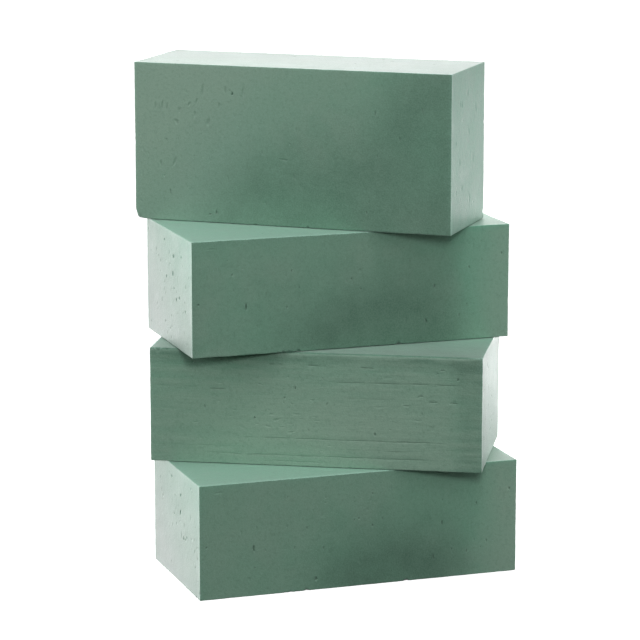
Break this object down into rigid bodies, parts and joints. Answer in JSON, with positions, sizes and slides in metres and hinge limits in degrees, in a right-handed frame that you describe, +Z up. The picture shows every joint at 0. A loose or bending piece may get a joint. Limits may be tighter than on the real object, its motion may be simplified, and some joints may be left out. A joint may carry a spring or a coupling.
{
  "type": "floral foam brick stack",
  "caption": "Free-standing stack of rectangular floral foam bricks, lying flat below and on edge on top, each turned a little and free to lift off.",
  "frame": {"origin": "centre of the bottom brick's underside", "axes": "+Z up through the stack, +X along the bottom brick's length, +Y along its breadth, away from the side that the stack is seen from"},
  "size_m": [0.2542, 0.2293, 0.35],
  "materials": {
    "floral_foam": "matte open-cell phenolic foam, sawn faces"
  },
  "bodies": {
    "bottom": {"bottom_brick": "floral_foam"},
    "second": {"second_brick": "floral_foam"},
    "third": {"third_brick": "floral_foam"},
    "top": {"top_brick": "floral_foam"}
  },
  "joints": [
    {"name": "second_brick_lift", "type": "slide", "parent": "bottom", "child": "second", "axis": [0, 0, 1], "range_m": [0, 0.12]},
    {"name": "third_brick_lift", "type": "slide", "parent": "second", "child": "third", "axis": [0, 0, 1], "range_m": [0, 0.12]},
    {"name": "top_brick_lift", "type": "slide", "parent": "third", "child": "top", "axis": [0, 0, 1], "range_m": [0, 0.12]}
  ]
}
